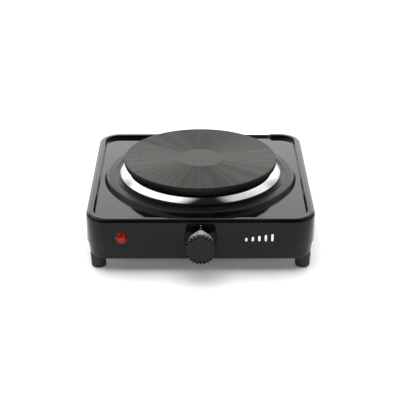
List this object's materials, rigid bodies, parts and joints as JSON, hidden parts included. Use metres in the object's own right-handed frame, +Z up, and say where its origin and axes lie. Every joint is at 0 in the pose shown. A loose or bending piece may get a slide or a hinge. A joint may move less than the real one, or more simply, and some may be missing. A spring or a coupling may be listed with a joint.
{
  "type": "hot plate burner",
  "caption": "Square single electric hot plate: round cast-iron plate with a bright trim ring on a black pressed-steel housing, front thermostat knob and indicator lamp, on rubber feet.",
  "frame": {"origin": "on the floor under the middle of the overall box, midway between the knob's face and the cord gland's end; the plate's axis is 8 mm behind it", "axes": "+Z up through the cooking surface, -Y the front with the knob, +X to the right as seen from the front"},
  "size_m": [0.221, 0.253, 0.0766],
  "materials": {
    "black_enamel": "gloss",
    "pan_enamel": "satin",
    "cast_iron": "turned, black heat-proof coating",
    "chrome": "polished",
    "zinc_steel": "zinc plated",
    "bright_sheet": "aluminised sheet",
    "brass": "satin",
    "spring_steel": "spring temper",
    "steatite": "unglazed",
    "knob_plastic": "moulded phenolic",
    "bezel_plastic": "gloss",
    "inner_plastic": "moulded",
    "gland_plastic": "moulded",
    "light_print": "raised print",
    "red_lens": "clear red",
    "lamp_glass": "clear",
    "rubber": "matt",
    "live_insulation": "heat-proof sleeve",
    "neutral_insulation": "heat-proof sleeve",
    "earth_insulation": "heat-proof sleeve"
  },
  "bodies": {
    "housing": {"arm_pivot": "zinc_steel", "base_pan": "pan_enamel", "base_screws": "zinc_steel", "cast_iron_plate": "cast_iron", "clamp_bridge": "zinc_steel", "coil_cement": "steatite", "cord_gland": "gland_plastic", "corner_brackets": "zinc_steel", "dial_bezel": "bezel_plastic", "earth_screw": "zinc_steel", "earth_tag": "brass", "earth_wire": "earth_insulation", "fixed_contact": "brass", "foot_front_left": "rubber", "foot_front_right": "rubber", "foot_rear_left": "rubber", "foot_rear_right": "rubber", "foot_screws": "zinc_steel", "fuse_clip": "zinc_steel", "gland_nut": "inner_plastic", "heat_mark": "light_print", "heat_shield": "bright_sheet", "heater_cover": "bright_sheet", "heater_pins": "zinc_steel", "heater_terminal": "steatite", "heater_wire": "live_insulation", "heating_coil": "zinc_steel", "index_marks": "light_print", "lamp_clip": "spring_steel", "lamp_holder": "inner_plastic", "lamp_lens": "red_lens", "lamp_wires": "neutral_insulation", "live_wire": "live_insulation", "neon_bulb": "lamp_glass", "neutral_wire": "neutral_insulation", "plate_stud": "zinc_steel", "stud_nut": "zinc_steel", "stud_washer": "zinc_steel", "terminal_block": "inner_plastic", "terminal_screws": "brass", "thermal_fuse": "steatite", "thermostat_body": "steatite", "thermostat_bracket": "zinc_steel", "thermostat_posts": "zinc_steel", "thermostat_screws": "zinc_steel", "top_housing": "black_enamel", "trim_ring": "chrome"},
    "knob": {"control_knob": "knob_plastic", "knob_clip": "spring_steel", "thermostat_shaft": "zinc_steel", "cam_disc": "inner_plastic"},
    "contact_lever": {"contact_arm": "brass"}
  },
  "joints": [
    {"name": "knob_turn", "type": "hinge", "parent": "housing", "child": "knob", "pos_m": [0, -0.1025, 0.038], "axis": [0, 1, 0], "range_deg": [0, 270]},
    {"name": "contact_lift", "type": "hinge", "parent": "housing", "child": "contact_lever", "pos_m": [0.014, -0.095, 0.0455], "axis": [0, 1, 0], "range_deg": [0, 5]}
  ],
  "couplings": [
    {"joint": "contact_lift", "follows": "knob_turn", "ratio": 0.0182}
  ]
}
